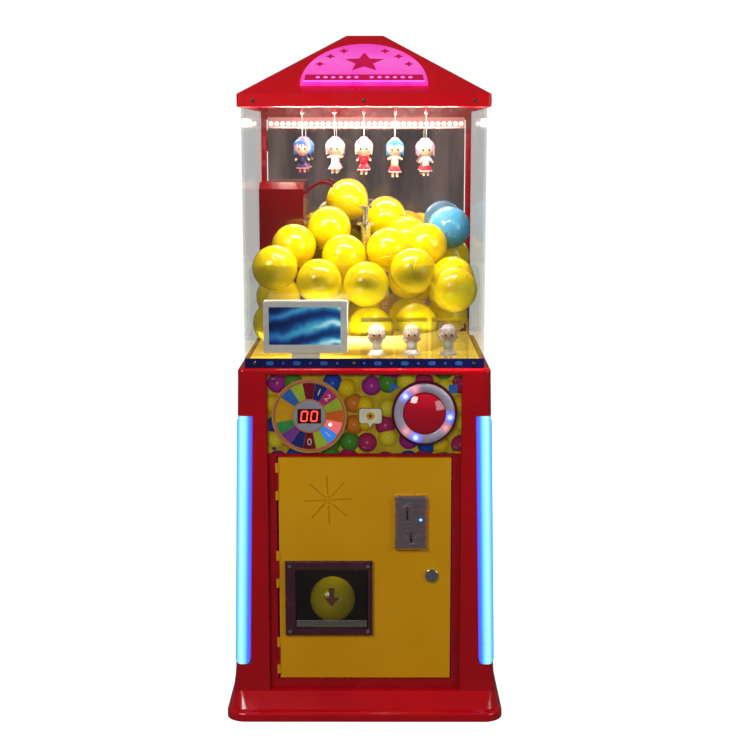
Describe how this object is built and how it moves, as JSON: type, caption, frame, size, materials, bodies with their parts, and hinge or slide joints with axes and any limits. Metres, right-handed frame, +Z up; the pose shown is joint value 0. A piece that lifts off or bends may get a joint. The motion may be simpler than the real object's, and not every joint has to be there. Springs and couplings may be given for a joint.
{
  "type": "capsule toy vendor",
  "caption": "Floor-standing capsule vending cabinet with a hipped lit roof, a glass case of toy capsules, a pocket turntable, a number wheel, a dome button and a coin door",
  "frame": {"origin": "centre of the base's footprint on the floor", "axes": "+X to the machine's left as it faces the customer (the customer's right), +Y to the rear, +Z up"},
  "size_m": [0.6, 0.636, 1.467],
  "materials": {
    "red_shell": "glossy moulded red, deep gloss",
    "red_panel": "gloss red paint on sheet steel",
    "rubber_feet": "matt black rubber",
    "light_diffuser": "milky diffuser lit cyan-white from inside",
    "black_plastic": "black moulded plastic",
    "printed_panel": "printed sheet with bright capsules, glossy film",
    "blue_strip": "dark blue acrylic strip",
    "dark_screws": "dark dome screws",
    "printed_wheel": "printed number wheel, glossy film",
    "dark_red_bezel": "dark red moulded bezel",
    "milky_ring": "milky ring with blue-white lamps behind it",
    "red_dome": "translucent red dome",
    "yellow_door": "yellow powder coat",
    "zinc_steel": "zinc plated steel",
    "aubergine_metal": "dark aubergine metallic paint",
    "clear_acrylic": "clear acrylic with polished edges",
    "bare_steel": "brushed steel",
    "chrome_fittings": "chrome plated",
    "coin_steel": "brushed dark steel",
    "clear_glass": "clear tempered glass",
    "rear_mirror": "mirror finished rear door",
    "sign_pink": "pink translucent sign lens, lit from inside",
    "white_board": "white laminated board",
    "led_bar": "white bar with bright warm-white lamps",
    "white_plastic": "white moulded plastic",
    "motor_metal": "cast aluminium, slightly rough",
    "chute_plastic": "dark moulded plastic",
    "figure_vinyl": "vinyl figures in pale colours",
    "toy_vinyl": "vinyl and cloth toys in bright colours",
    "yellow_plastic": "glossy yellow polypropylene",
    "blue_plastic": "glossy sky blue polypropylene"
  },
  "bodies": {
    "cabinet": {"base_skirt": "red_shell", "levelling_feet": "rubber_feet", "side_panel_left": "red_panel", "side_panel_right": "red_panel", "back_panel": "red_panel", "shoulder_frame": "red_shell", "pillar_left": "red_shell", "pillar_right": "red_shell", "light_tubes": "light_diffuser", "vent_hood": "black_plastic", "power_inlet": "black_plastic", "front_frame": "red_panel", "control_panel": "printed_panel", "name_strip": "blue_strip", "trim_screws": "dark_screws", "wheel_disc": "printed_wheel", "panel_modules": "black_plastic", "button_bezel": "dark_red_bezel", "button_led_ring": "milky_ring", "door_hinge": "red_panel", "front_glass": "clear_glass", "side_glasses": "clear_glass", "rear_frame": "red_panel", "roof_canopy": "red_shell", "sign_lens": "sign_pink", "ceiling_panel": "white_board", "led_strip": "led_bar", "clear_guards": "clear_acrylic", "deck_plate": "white_board", "gear_motor": "motor_metal", "chute_hood": "red_shell", "prize_chute": "chute_plastic", "coin_box": "zinc_steel", "electronics": "motor_metal", "video_screen": "white_plastic", "display_boxes": "clear_acrylic", "display_figures": "figure_vinyl", "yellow_capsules": "yellow_plastic", "blue_capsule": "blue_plastic"},
    "rear_door_body": {"rear_door": "rear_mirror"},
    "front_door": {"door_panel": "yellow_door", "prize_frame": "aubergine_metal", "door_fittings": "chrome_fittings", "speaker": "black_plastic", "coin_acceptor": "coin_steel"},
    "lock": {"door_lock": "chrome_fittings"},
    "flap": {"prize_flap": "clear_acrylic", "flap_grip": "bare_steel"},
    "start_button": {"button_dome": "red_dome"},
    "reject": {"reject_button": "chrome_fittings"},
    "rotor": {"turntable": "white_plastic", "agitator": "bare_steel", "drive_gear": "white_plastic", "pocket_capsules": "yellow_plastic"},
    "motor_pinion": {"pinion": "bare_steel"},
    "toy_1": {"hanging_toy_1": "toy_vinyl"},
    "toy_2": {"hanging_toy_2": "toy_vinyl"},
    "toy_3": {"hanging_toy_3": "toy_vinyl"},
    "toy_4": {"hanging_toy_4": "toy_vinyl"},
    "toy_5": {"hanging_toy_5": "toy_vinyl"}
  },
  "joints": [
    {"name": "front_door_hinge", "type": "hinge", "parent": "cabinet", "child": "front_door", "pos_m": [-0.188, -0.262, 0.325], "axis": [0, 0, -1], "range_deg": [0, 110]},
    {"name": "door_lock_turn", "type": "hinge", "parent": "front_door", "child": "lock", "pos_m": [0.145, -0.25, 0.311], "axis": [0, -1, 0], "range_deg": [0, 90]},
    {"name": "prize_flap_hinge", "type": "hinge", "parent": "front_door", "child": "flap", "pos_m": [-0.0715, -0.2645, 0.321], "axis": [-1, 0, 0], "range_deg": [0, 85]},
    {"name": "start_button_press", "type": "slide", "parent": "cabinet", "child": "start_button", "axis": [0, 1, 0], "range_m": [0, 0.004], "stiffness_N_per_m": 900, "springref_m": -0.002},
    {"name": "reject_button_press", "type": "slide", "parent": "front_door", "child": "reject", "axis": [0, 1, 0], "range_m": [0, 0.003], "stiffness_N_per_m": 400, "springref_m": -0.002},
    {"name": "rear_door_hinge", "type": "hinge", "parent": "cabinet", "child": "rear_door_body", "pos_m": [-0.24, 0.257, 1.038], "axis": [0, 0, 1], "range_deg": [0, 100]},
    {"name": "turntable_spin", "type": "hinge", "parent": "cabinet", "child": "rotor", "pos_m": [0, 0.04, 0.74], "axis": [0, 0, 1], "continuous": true},
    {"name": "pinion_spin", "type": "hinge", "parent": "cabinet", "child": "motor_pinion", "pos_m": [0.084, 0.04, 0.742], "axis": [0, 0, 1], "continuous": true},
    {"name": "toy_1_swing", "type": "hinge", "parent": "cabinet", "child": "toy_1", "pos_m": [-0.15, 0.165, 1.308], "axis": [0, 1, 0], "range_deg": [-12, 12]},
    {"name": "toy_2_swing", "type": "hinge", "parent": "cabinet", "child": "toy_2", "pos_m": [-0.074, 0.165, 1.308], "axis": [0, 1, 0], "range_deg": [-12, 12]},
    {"name": "toy_3_swing", "type": "hinge", "parent": "cabinet", "child": "toy_3", "pos_m": [-0.005, 0.165, 1.308], "axis": [0, 1, 0], "range_deg": [-12, 12]},
    {"name": "toy_4_swing", "type": "hinge", "parent": "cabinet", "child": "toy_4", "pos_m": [0.069, 0.165, 1.308], "axis": [0, 1, 0], "range_deg": [-12, 12]},
    {"name": "toy_5_swing", "type": "hinge", "parent": "cabinet", "child": "toy_5", "pos_m": [0.142, 0.165, 1.308], "axis": [0, 1, 0], "range_deg": [-12, 12]}
  ],
  "couplings": [
    {"joint": "pinion_spin", "follows": "turntable_spin", "ratio": -2.5}
  ]
}
